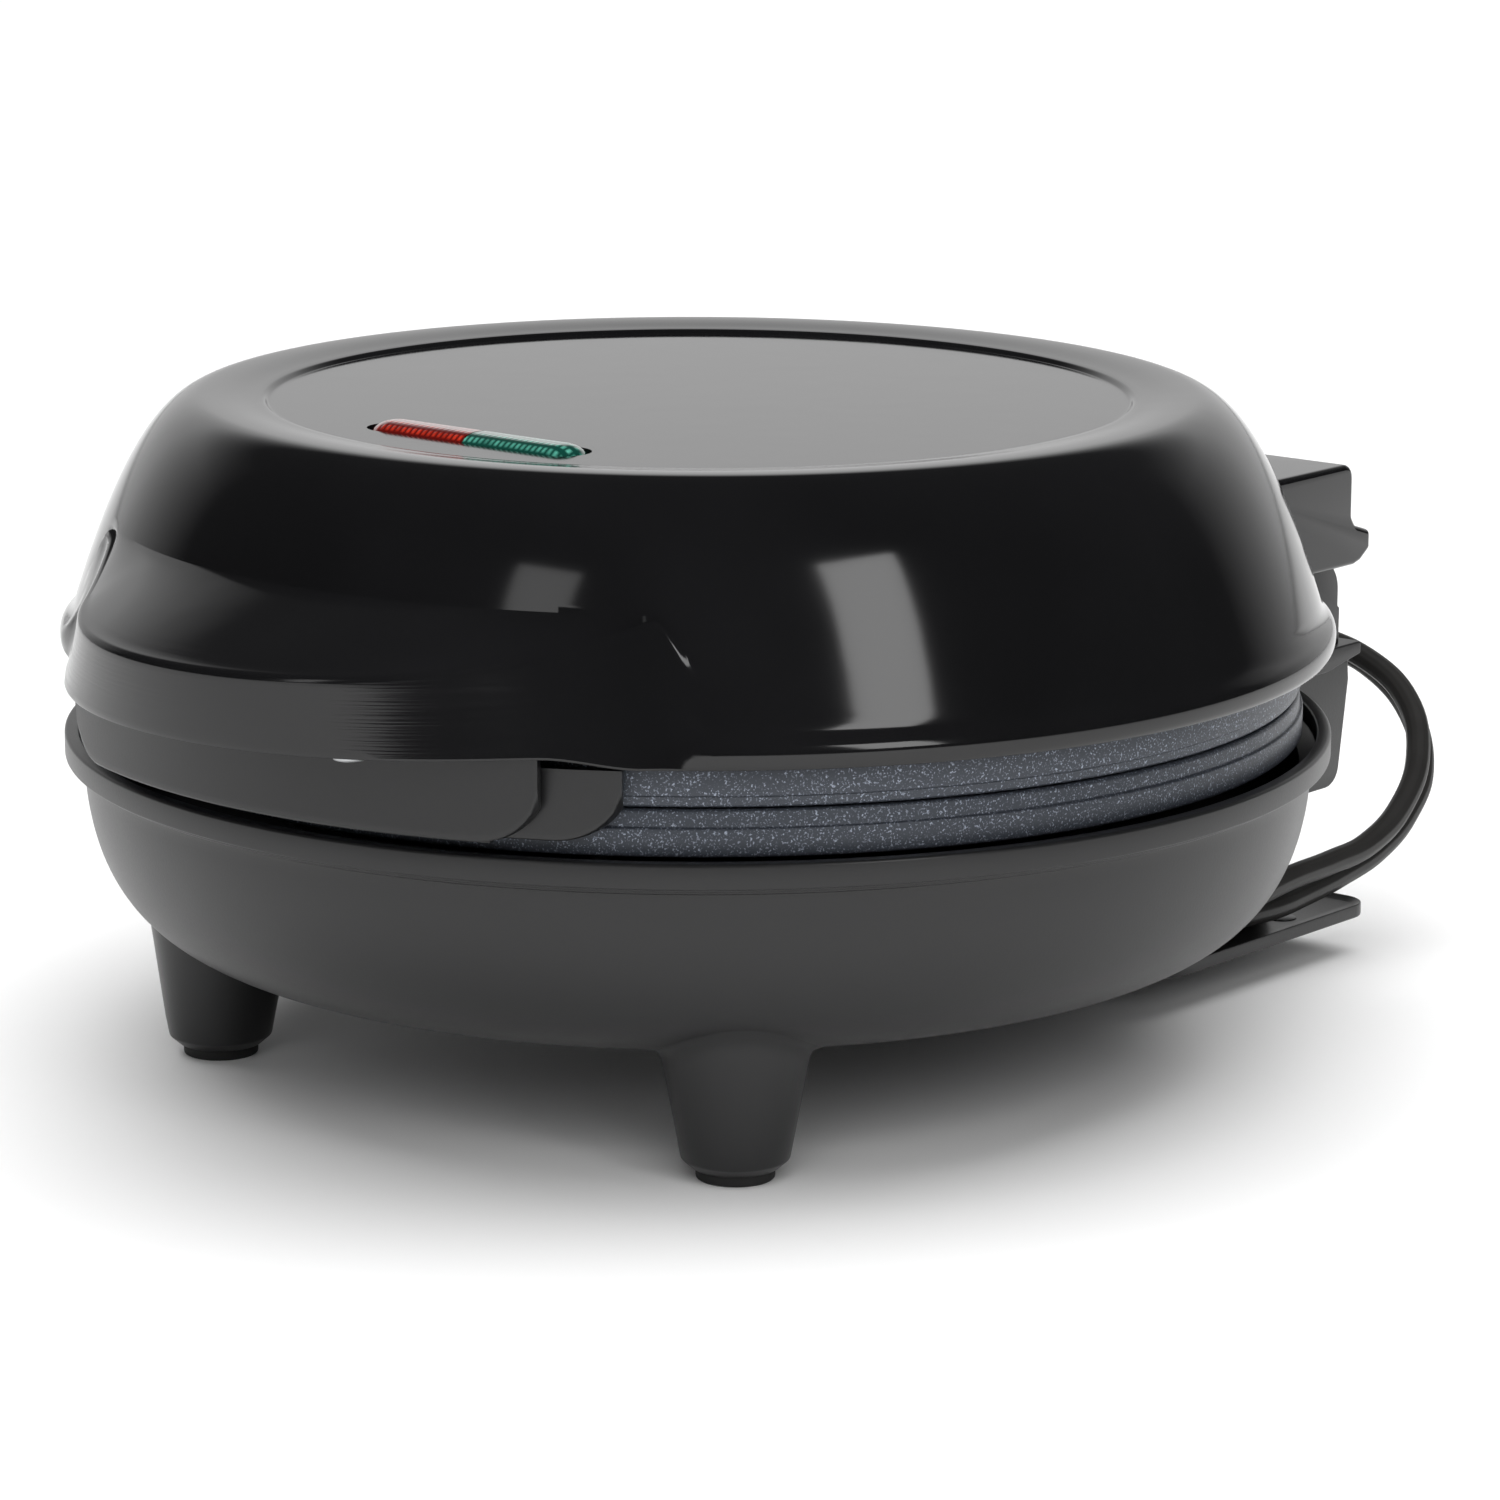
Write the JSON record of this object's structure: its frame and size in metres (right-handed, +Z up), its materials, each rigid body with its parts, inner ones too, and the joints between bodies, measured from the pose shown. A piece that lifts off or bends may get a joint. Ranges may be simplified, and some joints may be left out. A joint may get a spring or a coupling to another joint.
{
  "type": "donut maker",
  "caption": "Round electric donut maker with a hinged domed lid, ring-mould cooking plates, a front handle, indicator lens, conical feet and a rear post wound with its mains lead.",
  "frame": {"origin": "on the floor, on the vertical axis of the round body, which is also the middle of its footprint", "axes": "+Z up; the handle is at -Y and the hinge at +Y; +X is to the right as the user faces the handle"},
  "size_m": [0.2208, 0.3006, 0.1161],
  "materials": {
    "body_satin": "fine satin texture",
    "lid_gloss": "high gloss",
    "nonstick": "grey non-stick coating with a fine sparkle",
    "zinc_steel": "zinc plated",
    "element_steel": "heat-dulled sheath",
    "reflector_sheet": "bright sheet",
    "pad_rubber": "matt",
    "cord_sheath": "soft satin",
    "insulator": "matt ceramic",
    "lens_red": "clear coloured, ribbed inside",
    "lens_green": "clear coloured, ribbed inside",
    "pin_brass": "nickel plated"
  },
  "bodies": {
    "base": {"lower_housing": "body_satin", "rear_bracket": "body_satin", "cord_wrap": "body_satin", "foot_left": "body_satin", "foot_right": "body_satin", "foot_rear": "body_satin", "foot_pad_left": "pad_rubber", "foot_pad_right": "pad_rubber", "foot_pad_rear": "pad_rubber", "lower_plate": "nonstick", "lower_plate_screw_1": "zinc_steel", "lower_plate_screw_2": "zinc_steel", "lower_plate_screw_3": "zinc_steel", "lower_element": "element_steel", "lower_reflector": "reflector_sheet", "thermal_fuse": "insulator", "terminal_block": "insulator", "inner_lead": "cord_sheath", "hinge_pin_left": "zinc_steel", "hinge_pin_right": "zinc_steel", "wrap_screw_left": "zinc_steel", "wrap_screw_right": "zinc_steel", "strain_relief": "pad_rubber", "cord": "cord_sheath", "plug_body": "cord_sheath", "plug_pin_left": "pin_brass", "plug_pin_right": "pin_brass"},
    "lid": {"upper_housing": "lid_gloss", "lower_handle": "body_satin", "hinge_cover": "lid_gloss", "hinge_arm_left": "body_satin", "hinge_arm_right": "body_satin", "upper_plate": "nonstick", "upper_plate_screw_1": "zinc_steel", "upper_plate_screw_2": "zinc_steel", "upper_plate_screw_3": "zinc_steel", "upper_element": "element_steel", "upper_reflector": "reflector_sheet", "thermostat": "zinc_steel", "upper_lead": "cord_sheath", "lamp_holder": "insulator", "lamp_power": "lens_red", "lamp_ready": "lens_green", "lens_power": "lens_red", "lens_ready": "lens_green", "handle_screw_left": "zinc_steel", "handle_screw_right": "zinc_steel"}
  },
  "joints": [
    {"name": "lid_hinge", "type": "hinge", "parent": "base", "child": "lid", "pos_m": [0, 0.1105, 0.0755], "axis": [-1, 0, 0], "range_deg": [0, 90]}
  ]
}
